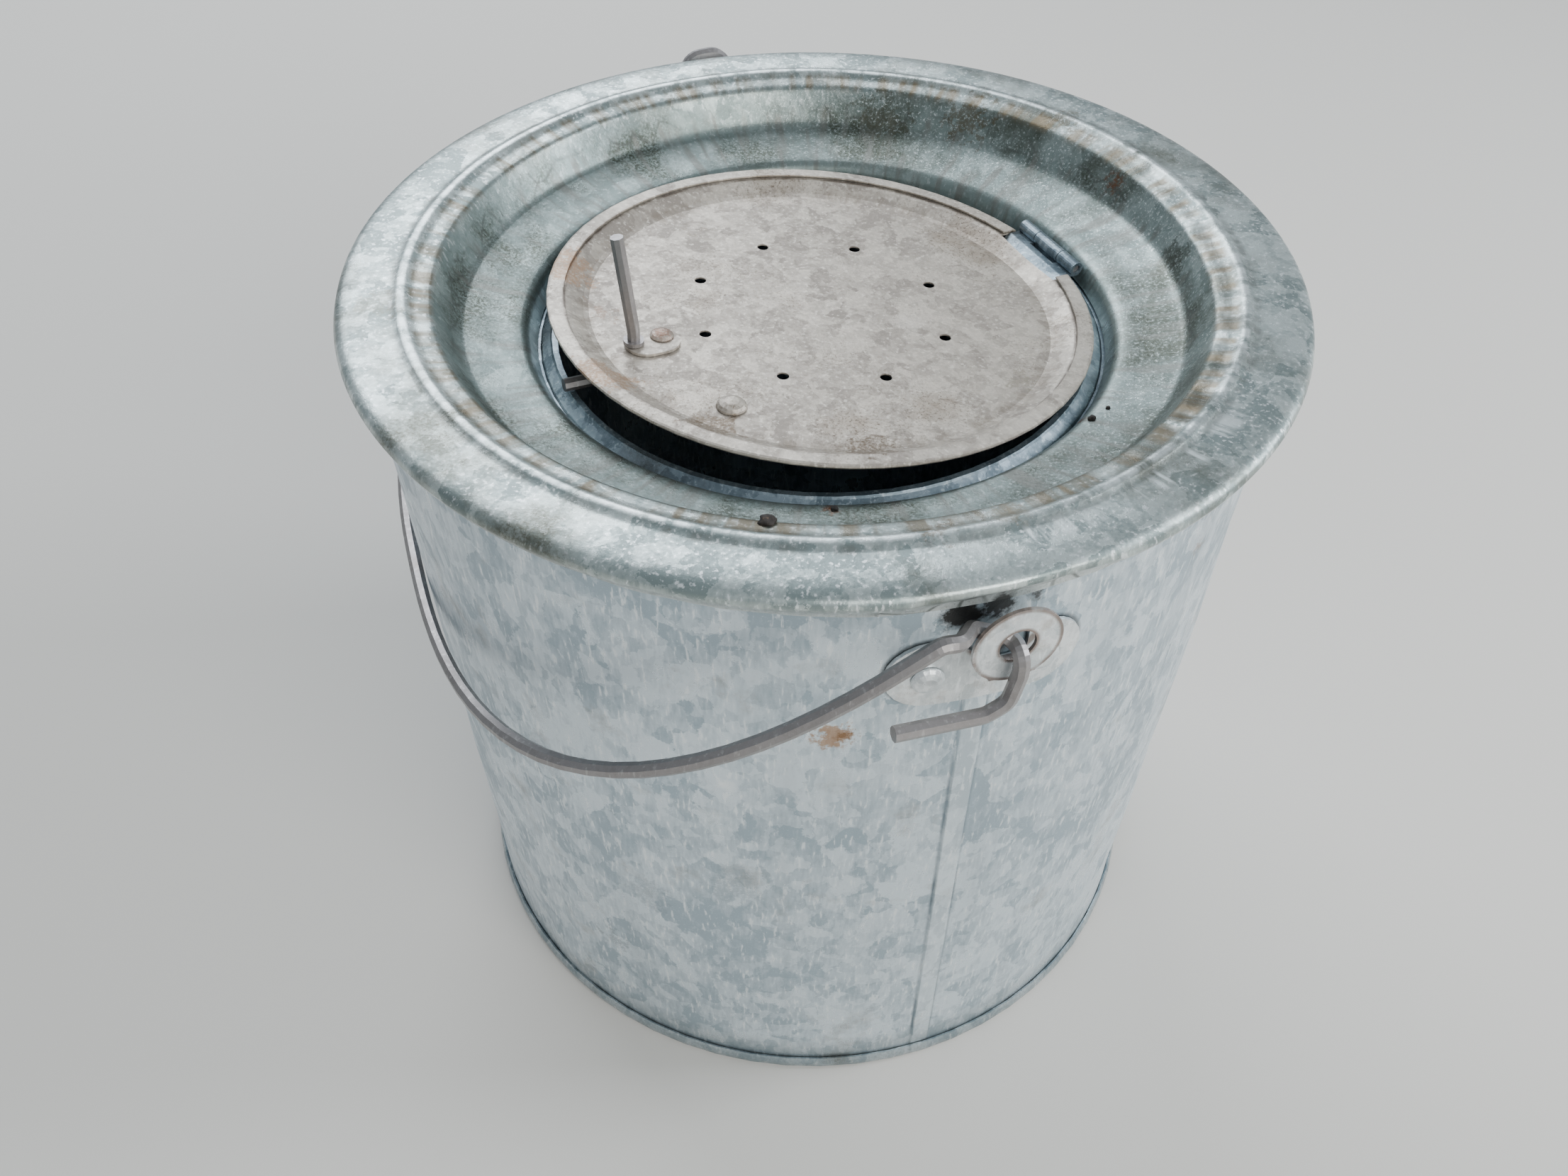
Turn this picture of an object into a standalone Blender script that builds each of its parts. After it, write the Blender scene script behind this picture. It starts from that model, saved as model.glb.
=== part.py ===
# Galvanised bait bucket with a hinged, perforated lid. Metres, +Z up, base on the floor at z = 0.

import bmesh
import bpy
import math
from mathutils import Matrix, Vector

# Driving dimensions of the pail
TOP_Z = 0.2592
SHEET = 0.0007
GAP = 0.0003
SEGMENTS = 64
WALL_TOP_R = 0.1375
WALL_FOOT_R = 0.1286
WALL_FOOT_Z = 0.0011
SKIRT_DROP = 0.0125
SKIRT_PLAY = 0.0011
SKIRT_R = WALL_TOP_R + SKIRT_PLAY
FLANGE_OVERHANG = 0.0064
RING_R = SKIRT_R + FLANGE_OVERHANG
BEAD_R = 0.1251
LIP_R = 0.1155
CREASE_R = 0.110
FOOT_FOLD = 0.002
FOOT_BEAD_R = WALL_FOOT_R + FOOT_FOLD
FOOT_BEAD_H = 0.0056
FLOOR_Z = 0.007
SEAM_WIDTH = 0.0068
SEAM_RISE = 0.0006
SEAM_TOP_DROP = 0.0512

# Neck and lid
COLLAR_TOP_R = 0.084
COLLAR_FLARE = 0.0032
COLLAR_FOOT_R = COLLAR_TOP_R + COLLAR_FLARE
GUTTER_PLAY = 0.0046
GUTTER_R = COLLAR_FOOT_R + GUTTER_PLAY
COLLAR_DROP = 0.0222
COLLAR_LIP = 0.002
COLLAR_EDGE = 0.0003
COLLAR_ROUND = 0.0006
COLLAR_FOOT_DROP = 0.0252
COLLAR_FLANGE = 0.0043
LID_SHEET = 0.0005
LID_OVERHANG = 0.0003
LID_R = COLLAR_TOP_R + LID_OVERHANG
LID_BRIM = 0.0125
LID_FLOOR_R = LID_R - LID_BRIM
LID_RIM_H = 0.0015
LID_DEPTH = 0.0048
HEM_WIDTH = 0.0051
HEM_R = LID_R - HEM_WIDTH
LID_AJAR = math.radians(4.5)
HOLE_R = 0.00185
HOLE_CIRCLE_R = 0.0398
HOLES = 8

# Hinge, in a frame whose X runs along the pin and whose Y points at the lid's centre
HINGE_AZ = math.radians(29.0)
HINGE_OVERHANG = 0.002
HINGE_R = COLLAR_TOP_R + HINGE_OVERHANG
BARREL_R = 0.0023
PIN_R = 0.0013
PIN_PLAY = 0.00008
BORE_EASE = 0.0002
BARREL_HALF = 0.015
MID_KNUCKLE_HALF = 0.00635
HINGE_LEAF = 0.0008
BRACKET_LEAF = 0.0006
LEG_PLAY = 0.0001
NOTCH_Y = 0.009
LID_CENTRE_Y = HINGE_R
RIM_Z = -BARREL_R
LID_UNDER_Z = RIM_Z + LID_RIM_H - LID_DEPTH
RIVET_ON_LID = (-0.0369, LID_CENTRE_Y + 0.0484)

# Catch and rivets
CATCH_INSET = 0.0093
CATCH_Y = LID_CENTRE_Y + LID_FLOOR_R - CATCH_INSET
CATCH_RIVET = (0.00145, CATCH_Y - 0.0093)
PLATE_Y = CATCH_Y - 0.0057
CATCH_X = 0.0006
CATCH_WIRE_R = 0.002
CATCH_HEIGHT = 0.034
CATCH_LEAN = 0.0041
FOOT_REACH = 0.0002
FOOT_LENGTH = LID_CENTRE_Y + LID_R + FOOT_REACH - CATCH_Y
PLATE_SHEET = 0.0008
PLATE_LENGTH = 0.017
PLATE_WIDTH = 0.013
HEAD_R = 0.0045
HEAD_H = 0.0022
SHANK_R = 0.0019
TAIL_R = 0.0032
TAIL_H = 0.0011
RIVET_GAP = 0.0004

# Ears and bail
EAR_AZ = math.radians(-69.5)
EAR_SHEET = 0.001
EAR_TOP_DROP = 0.021
EAR_FOOT_DROP = 0.052
SHELF_REACH = 0.0059
DISC_U = SKIRT_R + SHELF_REACH
DISC_R = 0.0122
EAR_HOLE_R = 0.005
EAR_HOLE_DROP = 0.023
FOLD_BELOW_HOLE = 0.0115
TAB_HALF = 0.00625
WING_R = 0.012
LEFT_WING = (0.0185, 0.0365)
RIGHT_WING = (-0.0115, 0.0373)
LEFT_RIVET = (0.0192, 0.0376)
RIGHT_RIVET = (-0.0124, 0.0383)
WIRE_R = 0.00225
AXIS_DROP = 0.0235
ARM_INSIDE_DISC = 0.0033
HOOK_OUTSIDE_DISC = 0.0037
ARM_U = DISC_U - ARM_INSIDE_DISC
HOOK_U = DISC_U + HOOK_OUTSIDE_DISC
CRANK_START = 0.0134
CRANK_END = 0.020
CRANK_BEND = 0.004
HOOK_BEND = 0.0035
HOOK_TAIL = 0.033

# The bow lies in a plane above the eyes; the arms leave that plane by ARM_TURN
BOW_RISE = 0.0213
ARM_TURN = math.radians(63.2)
BOW_INSIDE_HOOK = 0.0004
BAIL_HALF_WIDTH = HOOK_U - BOW_INSIDE_HOOK
BAIL_SLACK = 0.0026
BAIL_LENGTH = BAIL_HALF_WIDTH + BAIL_SLACK
BAIL_POWER = 2.5
ELBOW = 0.0125
BOW_START = 0.021
BOW_STEPS = 50

# Dents: azimuth from the front ear, height, half width and half height, depth inwards
DENTS = [(math.radians(50.0), 0.036, math.radians(9.0), 0.030, 0.0016),
         (math.radians(-62.0), 0.020, math.radians(8.0), 0.022, -0.0009)]

# Outer surface of the skirt over each ear, pressed in so that the bail can pass: (drop, radius)
RELIEF = [(0.0016, SKIRT_R + 0.0054), (0.0035, SKIRT_R + 0.0053), (0.0060, SKIRT_R + 0.0030),
          (0.0080, SKIRT_R + 0.0010), (0.0100, SKIRT_R), (SKIRT_DROP, SKIRT_R)]


def start_empty():
    for obj in list(bpy.data.objects):
        bpy.data.objects.remove(obj, do_unlink=True)


def new_collection(name):
    group = bpy.data.collections.new(name)
    bpy.context.scene.collection.children.link(group)
    return group


def make_material(name, rgb, roughness, metallic):
    mat = bpy.data.materials.new(name)
    mat.use_nodes = True
    shader = mat.node_tree.nodes["Principled BSDF"]
    shader.inputs["Base Color"].default_value = (*rgb, 1.0)
    shader.inputs["Roughness"].default_value = roughness
    shader.inputs["Metallic"].default_value = metallic
    return mat


def link(name, data, group, mat=None):
    obj = bpy.data.objects.new(name, data)
    group.objects.link(obj)
    if mat:
        obj.data.materials.append(mat)
    return obj


def bake(obj):
    """Replace an object's mesh by its evaluated one, so that later edits see the real surface."""
    bpy.context.view_layer.update()
    graph = bpy.context.evaluated_depsgraph_get()
    mesh = bpy.data.meshes.new_from_object(obj.evaluated_get(graph))
    obj.modifiers.clear()
    obj.data = mesh
    return obj


def edit(obj, change):
    work = bmesh.new()
    work.from_mesh(obj.data)
    change(work)
    work.to_mesh(obj.data)
    work.free()
    return obj


def close_up(obj):
    """Weld loose caps and turn every face of a closed body outwards."""
    def weld(work):
        bmesh.ops.remove_doubles(work, verts=work.verts, dist=0.000002)
        bmesh.ops.recalc_face_normals(work, faces=work.faces)
    return edit(obj, weld)


def turned_surface(name, profile, group, mat, steps=SEGMENTS):
    """Turn a line of (radius, height) points once round Z."""
    mesh = bpy.data.meshes.new(name)
    edges = [(i, i + 1) for i in range(len(profile) - 1)]
    mesh.from_pydata([(r, 0.0, z) for r, z in profile], edges, [])
    obj = link(name, mesh, group, mat)
    screw = obj.modifiers.new("turn", "SCREW")
    screw.axis = "Z"
    screw.angle = math.tau
    screw.steps = steps
    screw.render_steps = steps
    screw.use_merge_vertices = True
    screw.merge_threshold = 0.00001
    screw.use_smooth_shade = False
    return bake(obj)


def thicken(obj, thickness, offset=-1.0):
    solid = obj.modifiers.new("sheet", "SOLIDIFY")
    solid.thickness = thickness
    solid.offset = offset
    solid.use_even_offset = True
    return close_up(bake(obj))


def combine(obj, other, how):
    """Join or cut with EXACT; the other object leaves the model."""
    tool = obj.modifiers.new(how.lower(), "BOOLEAN")
    tool.operation = how
    tool.solver = "EXACT"
    tool.object = other
    bake(obj)
    bpy.data.objects.remove(other, do_unlink=True)
    return close_up(obj)


def rod(name, radius, length, group, place, sides=24):
    """A solid cylinder along local Z, from z = 0 to length, placed by a matrix."""
    mesh = bpy.data.meshes.new(name)
    work = bmesh.new()
    lift = Matrix.Translation((0, 0, length / 2))
    bmesh.ops.create_cone(work, cap_ends=True, segments=sides, radius1=radius,
                          radius2=radius, depth=length, matrix=lift)
    work.to_mesh(mesh)
    work.free()
    obj = link(name, mesh, group)
    obj.matrix_world = place
    return obj


def block(name, low, high, group, place=Matrix.Identity(4)):
    """A box between two corners, placed by a matrix."""
    mesh = bpy.data.meshes.new(name)
    work = bmesh.new()
    size = Vector(high) - Vector(low)
    middle = (Vector(high) + Vector(low)) / 2
    shape = Matrix.Translation(middle) @ Matrix.Diagonal((*size, 1.0))
    bmesh.ops.create_cube(work, size=1.0, matrix=shape)
    work.to_mesh(mesh)
    work.free()
    obj = link(name, mesh, group)
    obj.matrix_world = place
    return obj


def rounded_path(corners, step=math.radians(15.0)):
    """Points along straight runs whose corners, given as (point, radius), are arcs."""
    points = [Vector(corners[0][0])]
    for (before, _), (here, radius), (after, _) in zip(corners, corners[1:], corners[2:]):
        here = Vector(here)
        a = (Vector(before) - here).normalized()
        b = (Vector(after) - here).normalized()
        turn = math.pi - a.angle(b)
        if radius <= 0.0 or turn < 0.02:
            points.append(here)
            continue
        reach = radius * math.tan(turn / 2)
        centre = here + (a + b).normalized() * radius / math.cos(turn / 2)
        start = here + a * reach - centre
        side = (here + b * reach - centre - start * math.cos(turn)) / math.sin(turn)
        count = max(2, math.ceil(turn / step))
        for i in range(count + 1):
            angle = turn * i / count
            points.append(centre + start * math.cos(angle) + side * math.sin(angle))
    points.append(Vector(corners[-1][0]))
    return points


def wire(name, points, radius, group, mat):
    """A round wire with flat ends along the points."""
    curve = bpy.data.curves.new(name, "CURVE")
    curve.dimensions = "3D"
    curve.bevel_depth = radius
    curve.bevel_resolution = 2
    curve.use_fill_caps = True
    spline = curve.splines.new("POLY")
    spline.points.add(len(points) - 1)
    for slot, point in zip(spline.points, points):
        slot.co = (*point, 1.0)
    obj = link(name, curve, group)
    bpy.context.view_layer.update()
    graph = bpy.context.evaluated_depsgraph_get()
    mesh = bpy.data.meshes.new_from_object(obj.evaluated_get(graph))
    bpy.data.objects.remove(obj, do_unlink=True)
    return close_up(link(name, mesh, group, mat))


def strip(name, path, low_x, high_x, thickness, group, mat=None):
    """A bent sheet: a path in the YZ plane drawn out along X, then thickened both ways."""
    mesh = bpy.data.meshes.new(name)
    work = bmesh.new()
    row = [work.verts.new((low_x, p[1], p[2])) for p in path]
    edges = [work.edges.new(pair) for pair in zip(row, row[1:])]
    drawn = bmesh.ops.extrude_edge_only(work, edges=edges)["geom"]
    far = [v for v in drawn if isinstance(v, bmesh.types.BMVert)]
    bmesh.ops.translate(work, verts=far, vec=(high_x - low_x, 0, 0))
    work.to_mesh(mesh)
    work.free()
    return thicken(link(name, mesh, group, mat), thickness, 0.0)


def prism(name, outline, depth, group, mat=None):
    """A flat outline in XY drawn out to both sides of its plane."""
    curve = bpy.data.curves.new(name, "CURVE")
    curve.dimensions = "2D"
    curve.fill_mode = "BOTH"
    curve.extrude = depth / 2
    spline = curve.splines.new("POLY")
    spline.points.add(len(outline) - 1)
    for slot, (x, y) in zip(spline.points, outline):
        slot.co = (x, y, 0.0, 1.0)
    spline.use_cyclic_u = True
    obj = link(name, curve, group)
    bpy.context.view_layer.update()
    graph = bpy.context.evaluated_depsgraph_get()
    mesh = bpy.data.meshes.new_from_object(obj.evaluated_get(graph))
    bpy.data.objects.remove(obj, do_unlink=True)
    return close_up(link(name, mesh, group, mat))


def arc(centre, radius, first, last, count):
    """Points on a circle, angles in degrees."""
    angles = [math.radians(first + (last - first) * i / count) for i in range(count + 1)]
    return [(centre[0] + radius * math.cos(a), centre[1] + radius * math.sin(a)) for a in angles]


def below_top(points):
    """Turn (radius, drop under the top plane) into (radius, height)."""
    return [(r, TOP_Z - drop) for r, drop in points]


def wall_radius(z):
    """Outer radius of the tapered wall at a height."""
    share = (z - WALL_FOOT_Z) / (TOP_Z - 0.016 - WALL_FOOT_Z)
    return WALL_FOOT_R + (WALL_TOP_R - WALL_FOOT_R) * share


def radial(azimuth):
    return Vector((math.cos(azimuth), math.sin(azimuth), 0.0))


def outward_place(azimuth, radius, z):
    """A frame on the wall whose Z points straight out."""
    side = Vector((-math.sin(azimuth), math.cos(azimuth), 0.0))
    axes = Matrix((side, Vector((0, 0, 1)), radial(azimuth))).transposed().to_4x4()
    return Matrix.Translation(radial(azimuth) * radius + Vector((0, 0, z))) @ axes


def rivet(name, grip, group, mat, place, head_r=HEAD_R, head_h=HEAD_H, tail_h=TAIL_H):
    """A domed rivet: the head stands on z = 0 and the tail is set under z = -grip."""
    dome = [(head_r * math.cos(a), head_h * math.sin(a))
            for a in (math.radians(d) for d in (90, 62, 36, 14, 0))]
    profile = [(0.0, head_h)] + dome[1:] + [(SHANK_R, 0.0), (SHANK_R, -grip), (TAIL_R, -grip),
               (TAIL_R * 0.8, -grip - tail_h), (0.0, -grip - tail_h)]
    obj = close_up(turned_surface(name, profile, group, mat, 16))
    obj.matrix_world = place
    return obj


def make_wall(group, cutters, mat):
    """The rolled wall with its curled top edge, side seam, dents and rivet holes."""
    top = TOP_Z - 0.016
    curl = below_top([(WALL_TOP_R + 0.0026, 0.0052), (WALL_TOP_R + 0.0009, 0.0068),
                      (WALL_TOP_R, 0.0095)])
    rows = 11
    slope = [(wall_radius(z), z) for z in
             (top + (WALL_FOOT_Z - top) * i / rows for i in range(rows + 1))]
    wall = turned_surface("pail_wall", curl + slope, group, mat)
    edit(wall, press_dents)
    thicken(wall, SHEET)
    combine(wall, seam_fold(cutters), "UNION")
    for ear_turn in (0.0, math.pi):
        for azimuth, z in rivet_places(ear_turn):
            place = outward_place(azimuth, wall_radius(z) - 0.01, z)
            combine(wall, rod("hole", SHANK_R + GAP, 0.02, cutters, place), "DIFFERENCE")
    wall.rotation_euler.z = EAR_AZ
    return wall


def press_dents(work):
    """Push the wall in (or out) over smooth round patches."""
    for vert in work.verts:
        azimuth = math.atan2(vert.co.y, vert.co.x)
        for centre, z, half_turn, half_height, depth in DENTS:
            across = (azimuth - centre) / half_turn
            along = (vert.co.z - z) / half_height
            away = across * across + along * along
            if away < 1.0:
                inwards = Vector((vert.co.x, vert.co.y, 0.0)).normalized()
                vert.co -= inwards * depth * (1.0 - away) ** 2


def seam_fold(cutters):
    """The folded side seam: a low flat rib that runs from under the ear down to the foot."""
    ends = []
    for azimuth, z in ((math.radians(-1.9), TOP_Z - SEAM_TOP_DROP), (math.radians(-0.7), 0.0065)):
        ends.append(radial(azimuth) * wall_radius(z) + Vector((0, 0, z)))
    along = (ends[0] - ends[1]).normalized()
    out = radial(math.radians(-1.3))
    side = along.cross(out).normalized()
    out = side.cross(along).normalized()
    axes = Matrix((out, side, along)).transposed().to_4x4()
    place = Matrix.Translation((ends[0] + ends[1]) / 2) @ axes
    half = (ends[0] - ends[1]).length / 2
    rib = block("seam", (-SHEET / 2, -SEAM_WIDTH / 2, -half),
                (SEAM_RISE, SEAM_WIDTH / 2, half), cutters, place)
    return rib


def make_bottom(group, mat):
    """The pressed bottom: its rim runs down inside the wall and is seamed round it outside."""
    inner = WALL_FOOT_R - SHEET - GAP - SHEET
    profile = [(WALL_FOOT_R + 0.0012, FOOT_BEAD_H), (FOOT_BEAD_R - 0.0004, FOOT_BEAD_H - 0.0010),
               (FOOT_BEAD_R, FOOT_BEAD_H - 0.0026), (FOOT_BEAD_R - 0.0002, 0.0011),
               (FOOT_BEAD_R - 0.0010, 0.0), (inner + 0.0006, 0.0), (inner, 0.0006),
               (inner, FLOOR_Z - 0.0008), (inner - 0.0010, FLOOR_Z), (inner * 0.55, FLOOR_Z + 0.0006),
               (0.0, FLOOR_Z + 0.0008)]
    pan = thicken(turned_surface("pail_bottom", profile, group, mat), SHEET)
    pan.rotation_euler.z = EAR_AZ
    return pan


def relief_radius(drop):
    for (high, outer), (low, inner) in zip(RELIEF, RELIEF[1:]):
        if high <= drop <= low:
            return outer + (inner - outer) * (drop - high) / (low - high)
    return SKIRT_R


def press_relief(work):
    """Press the skirt in over both ears, full within one facet and faded out over the next."""
    facet = math.tau / SEGMENTS
    for vert in work.verts:
        radius = math.hypot(vert.co.x, vert.co.y)
        drop = TOP_Z - vert.co.z
        off = abs(math.asin(max(-1.0, min(1.0, vert.co.y / max(radius, 0.001)))))
        share = max(0.0, min(1.0, (2 * facet - off) / facet))
        if radius < SKIRT_R - 0.0001 or drop < 0.0015 or share == 0.0:
            continue
        wanted = radius + (relief_radius(drop) - radius) * share
        if wanted < radius:
            vert.co.x *= wanted / radius
            vert.co.y *= wanted / radius


def make_ring(group, mat):
    """The dished top ring, from the gutter round the neck out to the crimped skirt."""
    profile = below_top([
        (GUTTER_R - 0.0036, 0.0245), (GUTTER_R - 0.0020, 0.0210), (GUTTER_R, 0.0180),
        ((GUTTER_R + CREASE_R) / 2, 0.0160), (CREASE_R, 0.0135), (CREASE_R + 0.0013, 0.0120),
        (LIP_R - 0.0025, 0.0090), (LIP_R, 0.0046), (LIP_R + 0.0012, 0.0022),
        (LIP_R + 0.0036, 0.0014), (BEAD_R - 0.0026, 0.0006), (BEAD_R - 0.0013, -0.0004),
        (BEAD_R + 0.0002, -0.0009), (BEAD_R + 0.0018, -0.0004), (BEAD_R + 0.0030, 0.0003),
        (RING_R - 0.0080, 0.0), (RING_R - 0.0030, 0.0005), (RING_R - 0.0007, 0.0017),
        (RING_R, 0.0035), (RING_R - 0.0008, 0.0052), (SKIRT_R + 0.0029, 0.0080),
        (SKIRT_R + 0.0005, 0.0106), (SKIRT_R, SKIRT_DROP)])
    ring = turned_surface("top_ring", profile, group, mat)
    edit(ring, press_relief)
    thicken(ring, SHEET)
    ring.rotation_euler.z = EAR_AZ
    return ring


def make_collar(group, mat):
    """The neck: a band whose foot flange lies under the gutter and whose top edge turns in."""
    profile = below_top([
        (COLLAR_TOP_R - COLLAR_LIP, COLLAR_DROP), (COLLAR_TOP_R - COLLAR_EDGE, COLLAR_DROP),
        (COLLAR_TOP_R + COLLAR_EDGE, COLLAR_DROP + COLLAR_ROUND),
        (COLLAR_FOOT_R - COLLAR_EDGE, COLLAR_FOOT_DROP - COLLAR_ROUND),
        (COLLAR_FOOT_R + COLLAR_EDGE, COLLAR_FOOT_DROP),
        (COLLAR_FOOT_R + COLLAR_FLANGE, COLLAR_FOOT_DROP)])
    collar = thicken(turned_surface("neck_collar", profile, group, mat), SHEET)
    collar.rotation_euler.z = EAR_AZ
    return collar


def rivet_places(turn):
    """Azimuth and height of an ear's two rivets; turn is the ear's own azimuth."""
    places = []
    for side, drop in (LEFT_RIVET, RIGHT_RIVET):
        z = TOP_Z - drop
        places.append((turn - math.asin(side / wall_radius(z)), z))
    return places


def wing_outline():
    """Both wings and the tab between them, seen from outside: X to the left, Y down from the top."""
    slot = TAB_HALF + 0.0007
    fold = EAR_HOLE_DROP + FOLD_BELOW_HOLE
    left_start = math.degrees(math.acos((slot - LEFT_WING[0]) / WING_R))
    right_end = math.degrees(math.acos((-slot - RIGHT_WING[0]) / WING_R))
    left = arc((LEFT_WING[0], -LEFT_WING[1]), WING_R, left_start, -90, 16)
    right = arc((RIGHT_WING[0], -RIGHT_WING[1]), WING_R, -90, right_end - 360, 16)
    return left + right + [(-slot, -fold), (slot, -fold)]


def make_ear(name, group, cutters, mat, azimuth):
    """An ear stamping: two wings on the wall, a tab folded out to a shelf and up to the eye."""
    low = TOP_Z - EAR_FOOT_DROP
    high = TOP_Z - EAR_TOP_DROP
    face = [(wall_radius(z) + GAP + EAR_SHEET, z) for z in (high, low)]
    wings = turned_surface(name, face, group, mat, SEGMENTS * 2)
    thicken(wings, EAR_SHEET)
    stamp = prism("stamp", wing_outline(), 0.03, cutters)
    stamp.matrix_world = (Matrix.Translation((DISC_U - 0.006, 0, TOP_Z))
                          @ Matrix(((0, 0, 1, 0), (-1, 0, 0, 0), (0, 1, 0, 0), (0, 0, 0, 1))))
    combine(wings, stamp, "INTERSECT")
    fold_z = TOP_Z - EAR_HOLE_DROP - FOLD_BELOW_HOLE
    seat = wall_radius(fold_z) + GAP + EAR_SHEET / 2
    bend = EAR_SHEET
    path = rounded_path([((0, seat - 0.0002, fold_z - 0.004), 0), ((0, seat, fold_z), bend),
                         ((0, DISC_U, fold_z), bend), ((0, DISC_U, TOP_Z - EAR_HOLE_DROP), 0)],
                        math.radians(30))
    lug = strip("lug", path, -TAB_HALF, TAB_HALF, EAR_SHEET, cutters)
    lug.rotation_euler.z = -math.pi / 2
    combine(wings, bake_place(lug), "UNION")
    eye = outward_place(0.0, DISC_U - EAR_SHEET / 2, TOP_Z - EAR_HOLE_DROP)
    combine(wings, rod("eye", DISC_R, EAR_SHEET, cutters, eye, 40), "UNION")
    hole = outward_place(0.0, DISC_U - 0.003, TOP_Z - EAR_HOLE_DROP)
    combine(wings, rod("hole", EAR_HOLE_R, 0.006, cutters, hole), "DIFFERENCE")
    for rivet_az, z in rivet_places(0.0):
        place = outward_place(rivet_az, wall_radius(z) - 0.004, z)
        combine(wings, rod("hole", SHANK_R + GAP, 0.01, cutters, place), "DIFFERENCE")
    wings.rotation_euler.z = azimuth
    return wings


def bake_place(obj):
    """Move an object's placement into its mesh."""
    bpy.context.view_layer.update()
    obj.data.transform(obj.matrix_world)
    obj.matrix_world = Matrix.Identity(4)
    return obj


def make_ear_rivets(prefix, group, mat, azimuth):
    grip = SHEET + GAP + EAR_SHEET + 2 * RIVET_GAP
    for word, (rivet_az, z) in zip(("left", "right"), rivet_places(azimuth)):
        seat = wall_radius(z) + GAP + EAR_SHEET + RIVET_GAP
        rivet(f"{prefix}_rivet_{word}", grip, group, mat, outward_place(rivet_az, seat, z))


def in_bow(u, v, n, rest):
    """A point given in the bow's frame, as (along u, to the left, up) with the bail at rest."""
    return Vector((u, v * math.cos(rest) + n * math.sin(rest),
                   -v * math.sin(rest) + n * math.cos(rest)))


def bow_points(rest):
    """The bow's centre line from the front arm to the rear one."""
    first = math.atan2(BOW_START, BAIL_HALF_WIDTH)
    points = []
    for i in range(BOW_STEPS + 1):
        angle = first + (math.pi - 2 * first) * i / BOW_STEPS
        c, s = math.cos(angle), math.sin(angle)
        reach = (abs(c) / BAIL_HALF_WIDTH) ** BAIL_POWER + (s / BAIL_LENGTH) ** BAIL_POWER
        reach **= -1.0 / BAIL_POWER
        points.append(in_bow(reach * c, reach * s, BOW_RISE, rest))
    return points


def bail_rest_angle():
    """How far the bow hangs below level when it lies on the wall, found by halving."""
    low, high = math.radians(5.0), math.radians(60.0)
    axis_z = TOP_Z - AXIS_DROP
    for _ in range(40):
        angle = (low + high) / 2
        nearest = min(math.hypot(p.x, p.y) - wall_radius(axis_z + p.z) for p in bow_points(angle))
        if nearest > WIRE_R + GAP:
            low = angle
        else:
            high = angle
    return low


def bail_corners(side, rest):
    """One arm from the bow to the eye: elbow, crank, inner arm and the run through the eye."""
    c, s = math.cos(ARM_TURN), math.sin(ARM_TURN)
    return [(in_bow(side * BAIL_HALF_WIDTH, ELBOW, BOW_RISE, rest), CRANK_BEND),
            (in_bow(side * BAIL_HALF_WIDTH, CRANK_END * c, CRANK_END * s, rest), CRANK_BEND),
            (in_bow(side * ARM_U, CRANK_START * c, CRANK_START * s, rest), CRANK_BEND),
            ((side * ARM_U, 0, 0), HOOK_BEND), ((side * HOOK_U, 0, 0), HOOK_BEND)]


def make_bail(group, mat):
    """The wire bail at rest on the wall; its origin lies on the axis through both eyes."""
    rest = bail_rest_angle()
    front_hook = [((HOOK_U, 0, -0.0065), 0.004), ((HOOK_U, 0.002, -0.0165), 0.005),
                  ((HOOK_U, 0.008, -0.0195), 0.004), ((HOOK_U, HOOK_TAIL, -0.0175), 0)]
    rear_hook = [((-HOOK_U, 0.003, 0.012), 0.005), ((-HOOK_U, 0.0005, 0.0215), 0.006),
                 ((-HOOK_U, -0.012, 0.0222), 0.006), ((-HOOK_U, -0.0155, 0.011), 0.005),
                 ((-HOOK_U, -HOOK_TAIL, 0.009), 0)]
    front = front_hook[::-1] + bail_corners(1, rest)[::-1]
    rear = bail_corners(-1, rest) + rear_hook
    bow = [(point, 0) for point in bow_points(rest)]
    bail = wire("bail", rounded_path(front + bow + rear), WIRE_R, group, mat)
    u = radial(EAR_AZ)
    left = Vector((u.y, -u.x, 0.0))
    axes = Matrix((u, left, Vector((0, 0, 1)))).transposed().to_4x4()
    bail.data.transform(axes)
    close_up(bail)
    bail.location = (0, 0, TOP_Z - AXIS_DROP)
    return bail


def hinge_frame():
    """The hinge's place with the lid shut: X along the pin, Y towards the lid's centre."""
    z = TOP_Z - COLLAR_DROP + GAP + BARREL_R
    point = radial(HINGE_AZ) * HINGE_R + Vector((0, 0, z))
    return Matrix.Translation(point) @ Matrix.Rotation(HINGE_AZ + math.pi / 2, 4, "Z")


def lid_point(world_azimuth, radius, z=0.0):
    """A point of the lid, by azimuth round its centre, in the hinge's frame."""
    turn = world_azimuth - HINGE_AZ - math.pi / 2
    return Vector((radius * math.cos(turn), LID_CENTRE_Y + radius * math.sin(turn), z))


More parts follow.
